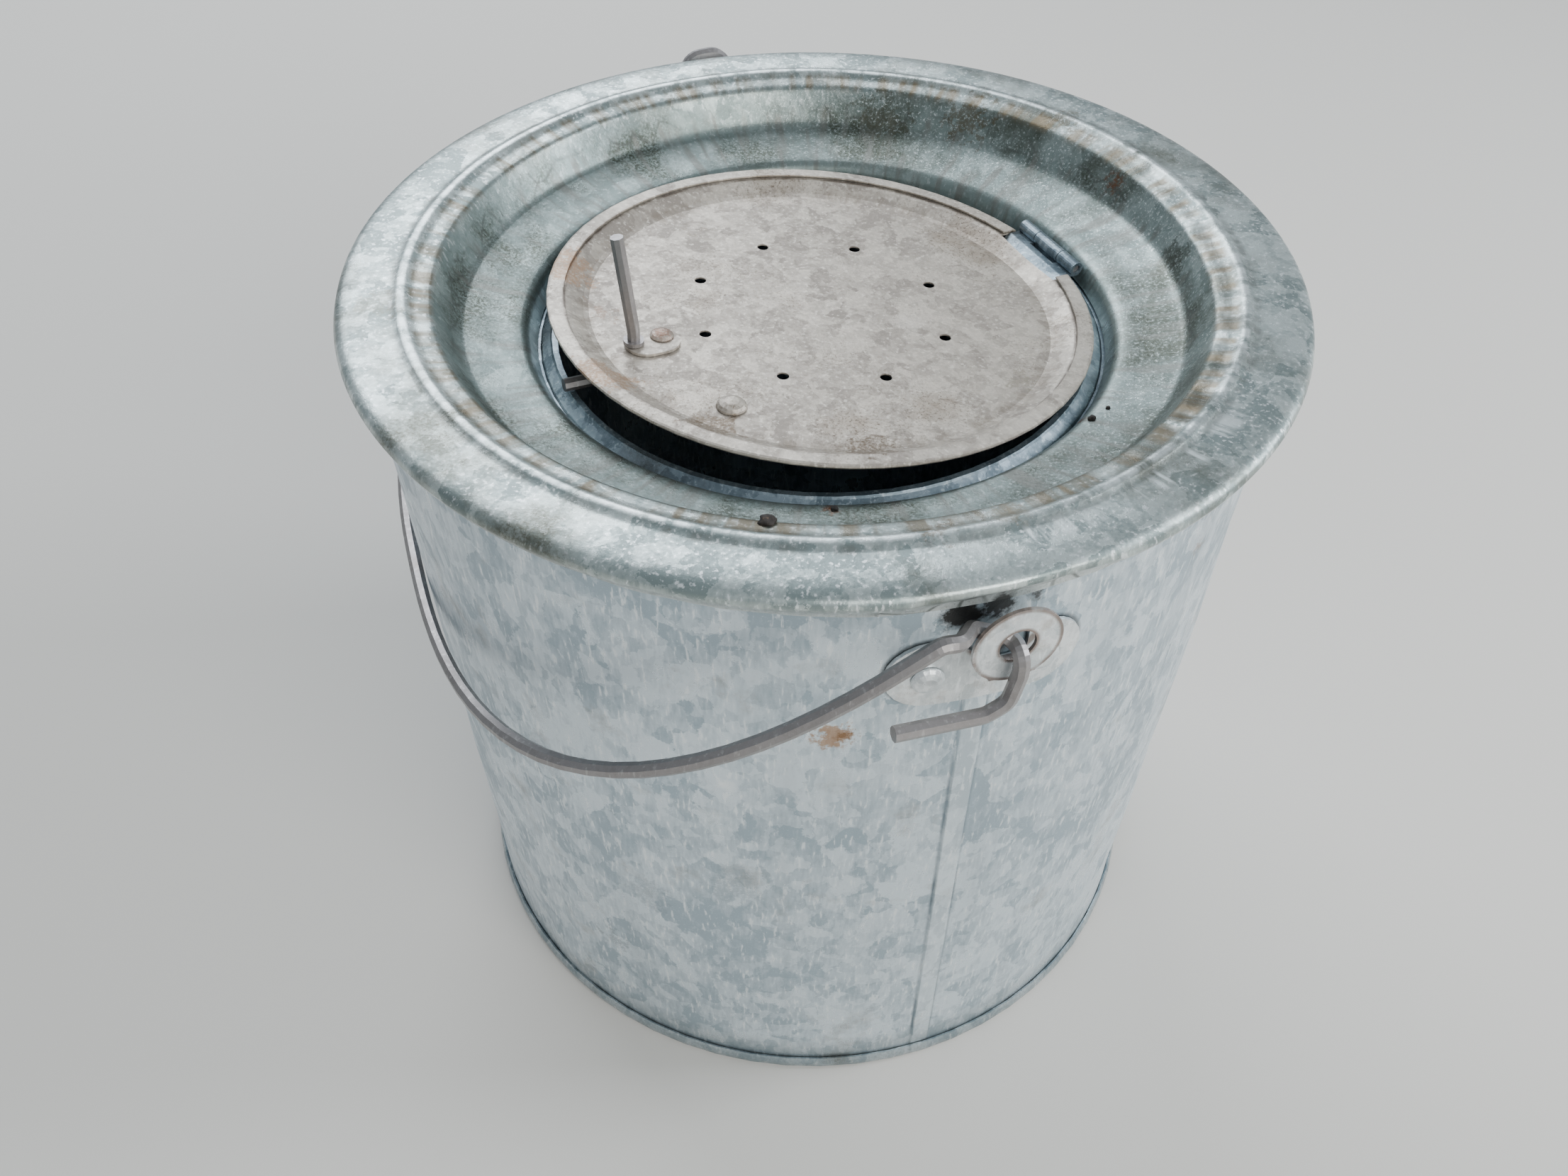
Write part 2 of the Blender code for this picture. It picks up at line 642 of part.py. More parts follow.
def make_lid(group, cutters, mat):
    """The dished lid, hemmed at its edge, with a notch at the hinge and its holes."""
    profile = [(HEM_R, LID_RIM_H), (LID_R - 0.0008, LID_RIM_H), (LID_R - 0.0002, LID_RIM_H * 0.83),
               (LID_R, LID_RIM_H / 2), (LID_R - 0.0002, LID_RIM_H * 0.17), (LID_R - 0.0008, 0.0),
               (LID_FLOOR_R + 0.0072, 0.0), (LID_FLOOR_R + 0.0057, -0.0006),
               (LID_FLOOR_R + 0.0017, LID_RIM_H - LID_DEPTH + 0.0005),
               (LID_FLOOR_R, LID_RIM_H - LID_DEPTH), (0.0, LID_RIM_H - LID_DEPTH)]
    lid = thicken(turned_surface("lid", profile, group, mat), LID_SHEET)
    lid.data.transform(Matrix.Translation((0, LID_CENTRE_Y, RIM_Z)))
    notch = BARREL_HALF + GAP
    combine(lid, block("notch", (-notch, -0.01, -0.01), (notch, NOTCH_Y, 0.01), cutters), "DIFFERENCE")
    for i in range(HOLES):
        at = lid_point(math.radians(119.7) - i * math.tau / HOLES, HOLE_CIRCLE_R, LID_UNDER_Z - 0.002)
        combine(lid, rod("hole", HOLE_R, 0.005, cutters, Matrix.Translation(at), 20), "DIFFERENCE")
    bored = [(RIVET_ON_LID, SHANK_R), (CATCH_RIVET, SHANK_R), ((CATCH_X, CATCH_Y), CATCH_WIRE_R)]
    for (x, y), radius in bored:
        at = Matrix.Translation((x, y, LID_UNDER_Z - 0.002))
        combine(lid, rod("hole", radius + GAP, 0.005, cutters, at, 20), "DIFFERENCE")
    return lid


def knuckle(name, low_x, high_x, group, mat=None):
    """A tube round the pin, drawn along X."""
    ring = [(BARREL_R, 0.0), (BARREL_R, high_x - low_x), (PIN_R + PIN_PLAY, high_x - low_x),
            (PIN_R + PIN_PLAY, 0.0), (BARREL_R, 0.0)]
    tube = close_up(turned_surface(name, ring, group, mat, 24))
    tube.matrix_world = Matrix.Translation((low_x, 0, 0)) @ Matrix.Rotation(math.pi / 2, 4, "Y")
    return bake_place(tube)


def cut_bore(leaf, cutters):
    """Clear a leaf out of the barrel's bore before its knuckles are joined on."""
    place = Matrix.Translation((-2 * BARREL_HALF, 0, 0)) @ Matrix.Rotation(math.pi / 2, 4, "Y")
    drill = rod("bore", PIN_R + PIN_PLAY + BORE_EASE, 4 * BARREL_HALF, cutters, place)
    combine(leaf, drill, "DIFFERENCE")


def make_strap(group, cutters, mat):
    """The lid's half of the hinge: a leaf under the dish, rolled into the two outer knuckles."""
    half = HINGE_LEAF / 2
    shelf = -BARREL_R + half
    under = LID_UNDER_Z - GAP - half
    path = rounded_path([((0, 0.0003, shelf), 0), ((0, 0.0055, shelf), 0.001),
                         ((0, 0.0087, shelf - 0.002), 0), ((0, 0.0136, under), 0.001),
                         ((0, 0.026, under), 0)], math.radians(20))
    strap = strip("hinge_strap", path, -BARREL_HALF, BARREL_HALF, HINGE_LEAF, group, mat)
    cut_bore(strap, cutters)
    inner = MID_KNUCKLE_HALF + GAP
    slot = block("slot", (-inner, -0.01, -0.01), (inner, BARREL_R + 0.001, 0.01), cutters)
    combine(strap, slot, "DIFFERENCE")
    combine(strap, knuckle("left", -BARREL_HALF, -inner, cutters), "UNION")
    combine(strap, knuckle("right", inner, BARREL_HALF, cutters), "UNION")
    return strap


def make_bracket(group, cutters, mat):
    """The neck's half of the hinge: a leg down the outside of the collar and the middle knuckle."""
    top = Vector((HINGE_R - COLLAR_TOP_R - COLLAR_EDGE, -COLLAR_ROUND - GAP - BARREL_R))
    foot = Vector((HINGE_R - COLLAR_FOOT_R + COLLAR_EDGE,
                   COLLAR_DROP - COLLAR_FOOT_DROP + COLLAR_ROUND - GAP - BARREL_R))
    down = (foot - top).normalized()
    off = Vector((down.y, -down.x)) * (GAP + BRACKET_LEAF / 2 + LEG_PLAY)
    high, low = top + off, foot + off
    path = [(0, high.x, -PIN_R), (0, high.x, high.y), (0, low.x, low.y)]
    leg = strip("hinge_bracket", path, -MID_KNUCKLE_HALF, MID_KNUCKLE_HALF, BRACKET_LEAF, group, mat)
    cut_bore(leg, cutters)
    combine(leg, knuckle("middle", -MID_KNUCKLE_HALF, MID_KNUCKLE_HALF, cutters), "UNION")
    leg.matrix_world = hinge_frame()
    return leg


def make_pin(group, mat):
    """The hinge pin, a little short of both ends of the barrel."""
    length = 2 * BARREL_HALF - 0.0016
    place = hinge_frame() @ Matrix.Translation((-length / 2, 0, 0)) @ Matrix.Rotation(math.pi / 2, 4, "Y")
    pin = rod("hinge_pin", PIN_R, length, group, place)
    pin.data.materials.append(mat)
    return pin


def make_catch(group, cutters, plate_mat, wire_mat):
    """The catch's plate, its rivet and the wire that turns in plate and lid."""
    floor_top = LID_UNDER_Z + LID_SHEET
    plate_z = floor_top + GAP + PLATE_SHEET / 2
    half_run = (PLATE_LENGTH - PLATE_WIDTH) / 2
    outline = (arc((0, half_run), PLATE_WIDTH / 2, 0, 180, 12)
               + arc((0, -half_run), PLATE_WIDTH / 2, 180, 360, 12))
    plate = prism("catch_plate", outline, PLATE_SHEET, group, plate_mat)
    plate.data.transform(Matrix.Translation((0, PLATE_Y, plate_z)))
    for (x, y), radius in ((CATCH_RIVET, SHANK_R), ((CATCH_X, CATCH_Y), CATCH_WIRE_R)):
        at = Matrix.Translation((x, y, plate_z - 0.003))
        combine(plate, rod("hole", radius + GAP, 0.006, cutters, at, 20), "DIFFERENCE")
    plate_top = plate_z + PLATE_SHEET / 2
    grip = plate_top - LID_UNDER_Z + 2 * GAP
    seat = Matrix.Translation((*CATCH_RIVET, plate_top + GAP))
    catch_rivet = rivet("catch_rivet", grip, group, plate_mat, seat, 0.0036, 0.0014)
    foot_z = catch_foot_z()
    corners = [((0, FOOT_LENGTH, foot_z), 0), ((0, 0, foot_z), 0.003),
               ((0, 0, plate_top + 0.004), 0.02),
               ((0.003, CATCH_LEAN, plate_top + CATCH_HEIGHT), 0)]
    catch = wire("catch_wire", rounded_path(corners), CATCH_WIRE_R, group, wire_mat)
    flare = rod("flare", CATCH_WIRE_R + 0.0011, 0.0012, cutters,
                Matrix.Translation((0, 0, plate_top + GAP)))
    combine(catch, flare, "UNION")
    catch.location = (CATCH_X, CATCH_Y, 0)
    return plate, catch_rivet, catch


def catch_foot_z():
    """Height of the foot's centre under the lid: with the lid ajar it stands on the collar's edge."""
    reach = HINGE_R + COLLAR_TOP_R - 0.001
    collar_z = -GAP - BARREL_R
    bottom = (collar_z + 0.0005 - reach * math.sin(LID_AJAR)) / math.cos(LID_AJAR)
    return bottom + CATCH_WIRE_R


def main():
    start_empty()
    group = new_collection("bait_bucket")
    cutters = new_collection("cutters")
    zinc = make_material("zinc_wall", (0.47, 0.53, 0.56), 0.42, 0.9)
    ring_zinc = make_material("zinc_ring", (0.40, 0.44, 0.44), 0.45, 0.9)
    lid_zinc = make_material("zinc_lid", (0.42, 0.39, 0.35), 0.5, 0.85)
    dark_zinc = make_material("zinc_neck", (0.25, 0.28, 0.29), 0.5, 0.85)
    ear_zinc = make_material("zinc_ear", (0.52, 0.55, 0.56), 0.4, 0.9)
    rivet_zinc = make_material("rivet_zinc", (0.55, 0.56, 0.55), 0.4, 0.9)
    steel_wire = make_material("steel_wire", (0.20, 0.20, 0.20), 0.45, 0.9)

    make_wall(group, cutters, zinc)
    make_bottom(group, zinc)
    make_ring(group, ring_zinc)
    make_collar(group, dark_zinc)
    for prefix, turn in (("front_ear", 0.0), ("rear_ear", math.pi)):
        make_ear(prefix, group, cutters, ear_zinc, EAR_AZ + turn)
        make_ear_rivets(prefix, group, rivet_zinc, EAR_AZ + turn)
    make_bail(group, steel_wire)
    make_bracket(group, cutters, dark_zinc)
    make_pin(group, steel_wire)

    hinge = bpy.data.objects.new("lid_hinge", None)
    group.objects.link(hinge)
    hinge.matrix_world = hinge_frame() @ Matrix.Rotation(LID_AJAR, 4, "X")
    floor_top = LID_UNDER_Z + LID_SHEET
    on_lid = [make_lid(group, cutters, lid_zinc), make_strap(group, cutters, dark_zinc)]
    on_lid += make_catch(group, cutters, lid_zinc, steel_wire)
    on_lid.append(rivet("lid_rivet", LID_SHEET + 2 * GAP, group, lid_zinc,
                        Matrix.Translation((*RIVET_ON_LID, floor_top + GAP))))
    for piece in on_lid:
        piece.parent = hinge
    bpy.context.view_layer.update()


main()
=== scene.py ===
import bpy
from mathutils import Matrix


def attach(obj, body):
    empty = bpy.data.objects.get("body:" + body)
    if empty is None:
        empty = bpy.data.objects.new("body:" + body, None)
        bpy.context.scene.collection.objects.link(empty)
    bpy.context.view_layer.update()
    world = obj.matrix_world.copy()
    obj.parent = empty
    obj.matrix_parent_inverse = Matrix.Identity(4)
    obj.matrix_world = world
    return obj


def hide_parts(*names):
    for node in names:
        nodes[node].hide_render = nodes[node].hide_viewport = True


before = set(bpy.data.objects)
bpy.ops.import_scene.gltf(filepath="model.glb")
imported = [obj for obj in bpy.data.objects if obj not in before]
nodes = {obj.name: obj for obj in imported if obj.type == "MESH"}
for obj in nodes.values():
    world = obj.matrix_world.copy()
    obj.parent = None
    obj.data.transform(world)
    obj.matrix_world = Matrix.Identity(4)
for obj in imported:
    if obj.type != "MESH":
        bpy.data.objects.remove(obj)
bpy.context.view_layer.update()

import math

import bmesh
import bpy
from mathutils import Matrix, Vector, noise

topZ = 0.2592  # m, the flange's flat top, as in the solids
earAzimuth = -69.5  # degrees, the front ear
earTurn = math.radians(earAzimuth)


# Small helpers

def toLinear(hexColour):
    values = [int(hexColour[i:i + 2], 16) / 255 for i in (1, 3, 5)]
    linear = [v / 12.92 if v <= 0.04045 else ((v + 0.055) / 1.055) ** 2.4 for v in values]
    return (*linear, 1.0)


def addNode(tree, kind, inputs=None, **settings):
    node = tree.nodes.new(kind)
    for name, value in settings.items():
        setattr(node, name, value)
    for key, value in (inputs or {}).items():
        if isinstance(value, bpy.types.NodeSocket):
            tree.links.new(value, node.inputs[key])
        else:
            node.inputs[key].default_value = value
    return node


def perMetre(millimetres):
    # a texture's scale, from the size of one of its grains
    return 1000.0 / millimetres


def addObject(name, data):
    obj = bpy.data.objects.new(name, data)
    bpy.context.scene.collection.objects.link(obj)
    return obj


def newMaterial(name):
    mat = bpy.data.materials.new(name)
    mat.use_nodes = True
    return mat, mat.node_tree.nodes["Principled BSDF"]


def smoothFaces(mesh, sharpAngle):
    # soft shading, broken where faces meet at more than this many degrees
    mesh.polygons.foreach_set("use_smooth", [True] * len(mesh.polygons))
    mesh.set_sharp_from_angle(angle=math.radians(sharpAngle))


def fade(value, low, high):
    share = min(1.0, max(0.0, (value - low) / (high - low)))
    return share * share * (3 - 2 * share)


def between(value, start, full, fall, end):
    # 1 from full to fall, 0 outside start and end
    return fade(value, start, full) * (1 - fade(value, fall, end))


def turnFrom(middle, azimuth):
    # signed angle from one azimuth to another, the short way round
    return (azimuth - middle + math.pi) % math.tau - math.pi


def fromEar(azimuth):
    # angle to the nearer of the two ears
    return abs((azimuth - earTurn + math.pi / 2) % math.pi - math.pi / 2)


def onCircle(azimuth, z, radius):
    angle = math.radians(azimuth)
    return (radius * math.cos(angle), radius * math.sin(angle), z)


def waves(azimuth, r, z, size, seed):
    # noise on the object's surface; size in mm
    place = Vector((r * math.cos(azimuth), r * math.sin(azimuth), z)) * perMetre(size)
    return noise.noise(place + Vector((seed, 0, 0)))


# Camera, at the photo's angle

cameraSet = {
    "lens": 32.55,  # mm
    "frameWidth": 36.0,  # mm
    "clipStart": 0.01,
    "place": (0.0, -0.37349, 0.4917),
    "yaw": -0.02876,  # radians, as the next two
    "pitch": 0.78586,
    "roll": 0.01009,
}


def makeCamera(s):
    data = bpy.data.cameras.new("photoCamera")
    data.lens = s["lens"]
    data.sensor_width = s["frameWidth"]
    data.clip_start = s["clipStart"]
    cam = addObject("photoCamera", data)
    turn = (Matrix.Rotation(-s["yaw"], 4, "Z") @ Matrix.Rotation(math.pi / 2 - s["pitch"], 4, "X")
            @ Matrix.Rotation(s["roll"], 4, "Z"))
    cam.matrix_world = Matrix.Translation(s["place"]) @ turn
    bpy.context.scene.camera = cam


# Floor and soft studio light

studio = {
    "floorColour": "#cfccc6",
    "floorRough": 0.8,  # matt paper: pale, with soft shadows and no reflection
    "floorSize": 6.0,
    "worldColour": "#dfe9f2",
    "worldStrength": 0.52,
    "lights": [  # name, place, aimed at, width, height, watts, colour
        ("windowBack", (-0.55, 1.25, 1.25), (0, 0, 0.15), 1.3, 0.9, 26.0, "#f2f8ff"),
        ("frontFill", (0.85, -1.25, 0.95), (0, 0, 0.1), 1.1, 1.1, 25.0, "#fbfaf6"),
        ("rightStrip", (1.4, 0.15, 0.8), (0, 0, 0.15), 0.5, 1.2, 20.0, "#f4f9ff"),
    ],
}


def makeStudio(s):
    world = bpy.data.worlds.new("softStudio")
    world.use_nodes = True
    background = world.node_tree.nodes["Background"]
    background.inputs["Color"].default_value = toLinear(s["worldColour"])
    background.inputs["Strength"].default_value = s["worldStrength"]
    bpy.context.scene.world = world

    half = s["floorSize"] / 2
    mesh = bpy.data.meshes.new("studioFloor")
    mesh.from_pydata([(-half, -half, 0), (half, -half, 0), (half, half, 0), (-half, half, 0)],
                     [], [(0, 1, 2, 3)])
    floor = addObject("studioFloor", mesh)
    matte, shader = newMaterial("paleFloor")
    shader.inputs["Base Color"].default_value = toLinear(s["floorColour"])
    shader.inputs["Roughness"].default_value = s["floorRough"]
    mesh.materials.append(matte)

    for name, place, aim, width, height, watts, colour in s["lights"]:
        lamp = bpy.data.lights.new(name, "AREA")
        lamp.shape = "RECTANGLE"
        lamp.size = width
        lamp.size_y = height
        lamp.energy = watts
        lamp.color = toLinear(colour)[:3]
        obj = addObject(name, lamp)
        obj.location = place
        obj.rotation_euler = (Vector(aim) - Vector(place)).to_track_quat("-Z", "Y").to_euler()


makeCamera(cameraSet)
makeStudio(studio)
print("camera and studio ready")


# Sheets rebuilt finer than the solids, so that they can carry waves, dents and a soft edge

def smoothLine(points, step):
    # a curve through the points, read about once a step
    line = []
    ends = [points[0]] + points + [points[-1]]
    for p0, p1, p2, p3 in zip(ends, ends[1:], ends[2:], ends[3:]):
        count = max(1, round(math.dist(p1, p2) / step))
        for i in range(count):
            t = i / count
            line.append(tuple(0.5 * (2 * b + (c - a) * t + (2 * a - 5 * b + 4 * c - d) * t * t
                                     + (3 * b - a - 3 * c + d) * t ** 3)
                              for a, b, c, d in zip(p0, p1, p2, p3)))
    return line + [points[-1]]


def turnedSheet(name, line, s, azimuths, press):
    # a closed sheet: its outer face, its inner face and the two cut edges between them
    inner = []
    for i, (r, z) in enumerate(line):
        before, after = line[max(i - 1, 0)], line[min(i + 1, len(line) - 1)]
        dr, dz = after[0] - before[0], after[1] - before[1]
        size = math.hypot(dr, dz)
        inner.append((r + dz / size * s["sheet"], z - dr / size * s["sheet"]))
    loop = list(line) + inner[::-1]
    count = len(line)
    verts, faces = [], []
    for azimuth in azimuths:
        cosine, sine = math.cos(azimuth), math.sin(azimuth)
        for i, (r, z) in enumerate(loop):
            outer = line[i if i < count else 2 * count - 1 - i]
            out, up = press(azimuth, *outer)
            verts.append(((r + out) * cosine, (r + out) * sine, z + up))
    rows, around = len(loop), len(azimuths)
    for j in range(around):
        k = (j + 1) % around
        for i in range(rows):
            n = (i + 1) % rows
            faces.append((j * rows + i, k * rows + i, k * rows + n, j * rows + n))
    mesh = bpy.data.meshes.new(name)
    mesh.from_pydata(verts, [], faces)
    smoothFaces(mesh, s["sharpAngle"])
    obj = addObject(name, mesh)
    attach(obj, "bucket")
    return obj


def evenTurns(count):
    return [math.tau * i / count for i in range(count)]


# Pail wall

wallShape = {
    "foot": (0.1286, 0.0011),  # radius, height
    "topRadius": 0.1375,
    "slopeTop": 0.2432,
    "slopeRows": 60,
    "curl": [(0.0026, 0.0052), (0.0009, 0.0068), (0.0, 0.0095)],  # outwards, under topZ
    "sheet": 0.0007,
    "sharpAngle": 50.0,
    "turns": 300,
    "waves": [(60.0, 3.0, 0.0004), (14.0, 9.0, 0.00013)],  # size in mm, seed, height
    "wavesBetween": (0.010, 0.03, 0.215, 0.240),  # heights; the curl and the foot stay true
    "earClear": (0.26, 0.42),  # radians from an ear: flat inside the first
    "earClearFrom": (0.175, 0.2),  # and only above these heights
    "seamWidth": 0.0068,
    "seamRise": 0.0006,
    "seamEdge": 0.0004,
    "seamTop": (-71.4, 0.208),  # azimuth in degrees, height
    "seamFoot": (-70.2, 0.0065),
    "seamMiddle": -70.8,
    "seamColumns": 34,  # fine columns on each side of the middle
    "seamColumn": 0.11,  # degrees
    "seamClear": 4.0,  # degrees on each side that hold only fine columns
    "dents": [  # azimuth in degrees, height, half turn in degrees, half height, depth
        (-19.5, 0.036, 9.0, 0.030, 0.0016),
        (-131.5, 0.020, 8.0, 0.022, -0.0009),
        (-40.0, 0.060, 5.0, 0.016, 0.0007),
        (-100.0, 0.110, 7.0, 0.020, 0.0005),
    ],
}


def makeWall(s):
    (footR, footZ), topR, top = s["foot"], s["topRadius"], s["slopeTop"]
    curl = [(topR + out, topZ - drop) for out, drop in s["curl"]]
    rows = s["slopeRows"]
    slope = [(topR + (footR - topR) * i / rows, top + (footZ - top) * i / rows)
             for i in range(rows + 1)]
    middle, clear = math.radians(s["seamMiddle"]), math.radians(s["seamClear"])
    azimuths = [a for a in evenTurns(s["turns"]) if abs(turnFrom(middle, a)) > clear]
    azimuths += [middle + k * math.radians(s["seamColumn"])
                 for k in range(-s["seamColumns"], s["seamColumns"] + 1)]
    azimuths = sorted(a % math.tau for a in azimuths)

    def press(azimuth, r, z):
        calm = between(z, *s["wavesBetween"])
        calm *= 1 - (1 - fade(fromEar(azimuth), *s["earClear"])) * fade(z, *s["earClearFrom"])
        out = sum(waves(azimuth, r, z, size, seed) * rise for size, seed, rise in s["waves"])
        out *= calm
        for centre, height, halfTurn, halfHeight, depth in s["dents"]:
            across = turnFrom(math.radians(centre), azimuth)
            away = (across / math.radians(halfTurn)) ** 2 + ((z - height) / halfHeight) ** 2
            if away < 1.0:
                out -= depth * (1 - away) ** 2
        (topTurn, topHeight), (footTurn, footHeight) = s["seamTop"], s["seamFoot"]
        if footHeight < z < topHeight:
            share = (z - footHeight) / (topHeight - footHeight)
            seam = math.radians(footTurn + (topTurn - footTurn) * share)
            off = abs(turnFrom(seam, azimuth)) * r
            half = s["seamWidth"] / 2
            out += s["seamRise"] * (1 - fade(off, half - s["seamEdge"], half))
        return out, 0.0
    return turnedSheet("wornWall", curl + slope, s, azimuths, press)


# Top ring: skirt, flange, bead and gutter

ringShape = {
    "profile": [  # radius and drop under the flange in mm, from the gutter out to the skirt
        (88.2, 24.5), (89.8, 21.0), (91.8, 18.0), (101.0, 16.0), (110.0, 13.5), (111.3, 12.0),
        (113.0, 9.0), (115.5, 4.6), (116.7, 2.2), (119.1, 1.4), (122.5, 0.6), (123.8, -0.4),
        (125.3, -0.9), (126.9, -0.4), (128.1, 0.3), (137.0, 0.0), (142.0, 0.5), (144.2, 1.7),
        (144.88, 3.5), (144.2, 5.2), (141.5, 8.0), (139.1, 10.6), (138.6, 12.5)],
    "relief": [(0.0, 0.1449), (1.6, 0.1440), (3.5, 0.1439), (6.0, 0.1416), (8.0, 0.1396),
               (10.0, 0.1386), (12.5, 0.1386)],  # drop in mm, radius over the ears
    "reliefFrom": (0.138, 1.5),  # radius in m, drop in mm
    "facets": 64,  # the solid's; the relief covers two of them on each side of an ear
    "sheet": 0.0007,
    "sharpAngle": 50.0,
    "turns": 640,
    "step": 0.0016,
    "flangeWave": (0.13, 0.0, 45.0, 5.0),  # where it is read, its size in mm, its seed
    "flangeRise": 0.00035,
    "flangeBetween": (0.117, 0.122, 0.141, 0.1445),  # radii
    "wrinkle": (0.125, 0.0, 6.5, 2.0),
    "wrinkleRise": 0.00065,
    "wrinkleBetween": (0.116, 0.119, 0.126, 0.1285),
    "wrinkleArc": (-55.0, -35.0, 18.0, 38.0),  # degrees; the bead is puckered on this side
    "wrinkleElsewhere": 0.15,
    "edgeWave": (0.14, 0.0, 16.0, 7.0),
    "edgeRise": 0.0008,
    "edgeLift": 0.3,
    "edgeFrom": (9.0, 12.5),  # drop in mm, down to the skirt's cut edge
}


def makeRing(s):
    line = smoothLine([(r / 1000, topZ - drop / 1000) for r, drop in s["profile"]], s["step"])
    facet = math.tau / s["facets"]
    reliefRadius, reliefDrop = s["reliefFrom"]

    def press(azimuth, r, z):
        out = 0.0
        drop = (topZ - z) * 1000
        up = waves(azimuth, *s["flangeWave"]) * s["flangeRise"] * between(r, *s["flangeBetween"])
        arc = between(math.degrees(turnFrom(0.0, azimuth)), *s["wrinkleArc"])
        up += (waves(azimuth, *s["wrinkle"]) * s["wrinkleRise"] * between(r, *s["wrinkleBetween"])
               * (s["wrinkleElsewhere"] + arc))
        if r > reliefRadius and drop > reliefDrop:
            share = max(0.0, min(1.0, (2 * facet - fromEar(azimuth)) / facet))
            for (d0, r0), (d1, r1) in zip(s["relief"], s["relief"][1:]):
                if d0 <= drop <= d1:
                    wanted = r + (r0 + (r1 - r0) * (drop - d0) / (d1 - d0) - r) * share
                    out += min(0.0, wanted - r)
            up += ((s["edgeLift"] + waves(azimuth, *s["edgeWave"])) * s["edgeRise"]
                   * fade(drop, *s["edgeFrom"]))
        return out, up
    return turnedSheet("wornRing", line, s, evenTurns(s["turns"]), press)


wornWall = makeWall(wallShape)
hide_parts("pail_wall")
wornRing = makeRing(ringShape)
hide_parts("top_ring")
print("wall and ring rebuilt")


# Bits of dried mud lying in the dish

mudShape = {
    "lumps": [  # azimuth in degrees, radius, height, size
        (-95.7, 0.1175, topZ - 0.0022, 0.0021),
        (-87.0, 0.0945, topZ - 0.0174, 0.0010),
        (-34.0, 0.0935, topZ - 0.0176, 0.0011),
        (-30.0, 0.0955, topZ - 0.0172, 0.0007),
    ],
    "subdivisions": 3,
    "lift": 0.35,  # shares of the size
    "uneven": 0.45,
    "flat": 0.7,
    "bumps": 1.3,  # waves across a lump
}


def makeMud(s):
    work = bmesh.new()
    for azimuth, radius, z, size in s["lumps"]:
        middle = Vector(onCircle(azimuth, z + size * s["lift"], radius))
        made = bmesh.ops.create_icosphere(work, subdivisions=s["subdivisions"], radius=size)
        for vert in made["verts"]:
            place = vert.co / size * s["bumps"] + Vector((azimuth, 0, 0))
            bumpy = 1 + s["uneven"] * noise.noise(place)
            vert.co = middle + Vector((vert.co.x * bumpy, vert.co.y * bumpy,
                                       vert.co.z * bumpy * s["flat"]))
    mesh = bpy.data.meshes.new("mudLumps")
    work.to_mesh(mesh)
    work.free()
    smoothFaces(mesh, 180.0)
    obj = addObject("mudLumps", mesh)
    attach(obj, "bucket")
    return obj


mud = makeMud(mudShape)


# What all the zinc finishes share

# Hot-dip zinc on rolled sheet, years old. It gives the eye a dull blue-grey skin with feathery
# crystals a few mm wide, white oxide flecks and a half-matt sheen that changes from crystal to
# crystal. The oxide flecks are really about 0.2 mm; they are drawn coarser so that they show.
zincFinish = {
    "light": "#d3dfe6",
    "dark": "#9eafb9",
    "bloom": "#eef4f6",  # white oxide flecks
    "speck": "#5c6468",
    "grime": "#6f6b62",
    "crystal": 9.0,  # mm across one spangle
    "smallCrystal": 0.45,  # a second, finer set, as a share of the first
    "smallShare": 0.45,
    "tilts": (0.5, -0.7),  # radians, how each set leans
    "lean": 0.6,  # of the tilt, about the second axis
    "crystalStretch": 0.72,
    "lump": 1.5,  # crystals across one slow bend of their edges
    "feather": 2.2,  # mm, how ragged their edges are
    "featherShare": 0.35,
    "featherReach": 0.010,  # m
    "dash": 1.3,  # mm, width of the short leaning flecks
    "dashTurn": (0.8, 0.75, 0.3),
    "dashStretch": 0.2,
    "dashTone": 0.35,
    "fleck": 0.9,  # mm
    "cloud": 34.0,  # mm
    "cloudShare": 0.55,
    "wide": 95.0,  # mm, slow change from dull to bright areas
    "wideTone": 0.35,
    "wideMiddle": 0.17,  # the wide pattern's mean share of the tone
    "noises": {  # detail and roughness of each pattern
        "feather": (4.0, 0.7), "lump": (2.0, 0.5), "cloud": (7.0, 0.62), "dash": (3.0, 0.5),
        "fleck": (5.0, 0.75), "wide": (2.0, 0.5)},
    "toneRange": (0.53, 0.80),  # narrower gives more contrast between the crystals
    "layers": [  # tint, strength, masks
        ("bloom", 0.7, [("fleck", 0.60, 0.70)]),
        ("bloom", 0.65, [("dash", 0.60, 0.67)]),
        ("speck", 0.55, [("fleck", 0.36, 0.28)]),
    ],
    "grimeStrength": 1.5,
    "grimeRange": (0.60, 0.75),  # the clouds hold grime from the first value on
    "metallic": 0.72,
    "roughness": (0.25, 0.42),
    "roughTone": (0.35, 0.95),
    "bump": 0.30,
    "bumpHeight": 0.0005,
    "fleckHeight": 0.5,
}
stainBlur = 0.0012  # m, half the width of a stain's edge
stainPull = 0.004  # m, how far one unit of raggedness can move the edge
solidStain = 0.8  # under this strength the flecks break a stain up
stainBreak = ("fleck", 0.66, 0.46)
arcRadius = 0.13  # m, radius at which a turn is unrolled true to length


